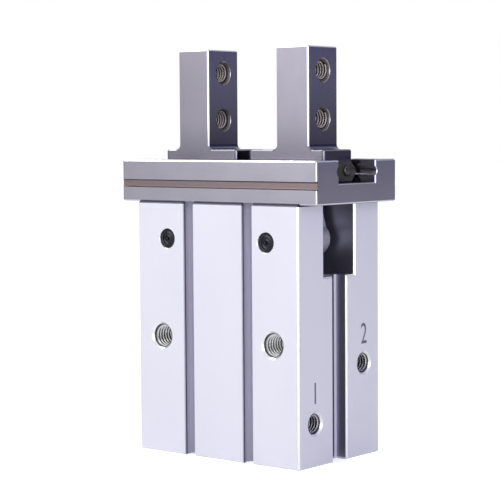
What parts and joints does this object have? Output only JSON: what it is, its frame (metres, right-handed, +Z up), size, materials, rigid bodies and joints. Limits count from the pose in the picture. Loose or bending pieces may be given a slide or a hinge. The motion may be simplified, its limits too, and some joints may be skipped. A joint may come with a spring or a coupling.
{
  "type": "pneumatic gripper",
  "caption": "Parallel pneumatic gripper: an air cylinder body whose piston drives levers that slide fingers apart or together on a ball guide rail.",
  "frame": {"origin": "middle of the underside of the body", "axes": "+Z up from the body to the finger tips, +X the way the right finger opens and towards the air ports, -Y the front"},
  "size_m": [0.063, 0.0336, 0.1029],
  "materials": {
    "anodised_aluminium": "clear anodised, satin",
    "cap_aluminium": "turned, clear anodised",
    "ground_steel": "hardened stainless steel, ground",
    "finger_steel": "hardened stainless steel, ground",
    "plate_steel": "stainless steel, dark",
    "screw_steel": "small steel screws, bright",
    "black_steel": "steel, black oxide",
    "lever_steel": "sintered steel, dull grey",
    "rod_steel": "steel, hard chromed and ground",
    "spring_steel": "spring steel, phosphated",
    "ball_steel": "bearing steel, polished",
    "bronze": "sintered bronze, oiled",
    "seal_rubber": "nitrile rubber, matt",
    "bumper_rubber": "urethane, matt",
    "magnet": "bonded magnet, matt",
    "wear_plastic": "filled plastic, matt"
  },
  "bodies": {
    "base": {"housing": "anodised_aluminium", "guide_rail": "ground_steel", "rail_screws": "black_steel", "left_lever_shaft": "black_steel", "right_lever_shaft": "black_steel", "rod_bush": "bronze", "rod_seal": "seal_rubber", "seal_plate": "cap_aluminium", "upper_bumper": "bumper_rubber", "lower_bumper": "bumper_rubber", "end_cap": "cap_aluminium", "cap_o_ring": "seal_rubber", "retaining_ring": "spring_steel"},
    "piston_group": {"piston": "cap_aluminium", "piston_rod": "rod_steel", "piston_nut": "spring_steel", "piston_seal": "seal_rubber", "magnet_ring": "magnet", "wear_ring": "wear_plastic"},
    "right_finger_group": {"right_finger": "finger_steel", "right_end_plates": "plate_steel", "right_plate_screws": "screw_steel"},
    "left_finger_group": {"left_finger": "finger_steel", "left_end_plates": "plate_steel", "left_plate_screws": "screw_steel"},
    "right_lever_group": {"right_lever": "lever_steel"},
    "left_lever_group": {"left_lever": "lever_steel"},
    "right_ball_rows": {"right_front_balls": "ball_steel", "right_rear_balls": "ball_steel"},
    "left_ball_rows": {"left_front_balls": "ball_steel", "left_rear_balls": "ball_steel"}
  },
  "joints": [
    {"name": "piston_slide", "type": "slide", "parent": "base", "child": "piston_group", "axis": [0, 0, 1], "range_m": [-0.00092, 0.0037]},
    {"name": "right_finger_slide", "type": "slide", "parent": "base", "child": "right_finger_group", "axis": [1, 0, 0], "range_m": [-0.0014, 0.0056]},
    {"name": "right_lever_turn", "type": "hinge", "parent": "base", "child": "right_lever_group", "pos_m": [0.016, 0, 0.05497], "axis": [0, 1, 0], "range_deg": [-4.86, 19.45]},
    {"name": "right_ball_roll", "type": "slide", "parent": "base", "child": "right_ball_rows", "axis": [1, 0, 0], "range_m": [-0.0007, 0.0028]},
    {"name": "left_finger_slide", "type": "slide", "parent": "base", "child": "left_finger_group", "axis": [-1, 0, 0], "range_m": [-0.0014, 0.0056]},
    {"name": "left_lever_turn", "type": "hinge", "parent": "base", "child": "left_lever_group", "pos_m": [-0.016, 0, 0.05497], "axis": [0, -1, 0], "range_deg": [-4.86, 19.45]},
    {"name": "left_ball_roll", "type": "slide", "parent": "base", "child": "left_ball_rows", "axis": [-1, 0, 0], "range_m": [-0.0007, 0.0028]}
  ],
  "couplings": [
    {"joint": "right_finger_slide", "follows": "piston_slide", "ratio": 1.5138},
    {"joint": "right_lever_turn", "follows": "piston_slide", "rad_per_m": 91.743},
    {"joint": "right_ball_roll", "follows": "piston_slide", "ratio": 0.75688},
    {"joint": "left_finger_slide", "follows": "piston_slide", "ratio": 1.5138},
    {"joint": "left_lever_turn", "follows": "piston_slide", "rad_per_m": 91.743},
    {"joint": "left_ball_roll", "follows": "piston_slide", "ratio": 0.75688}
  ]
}
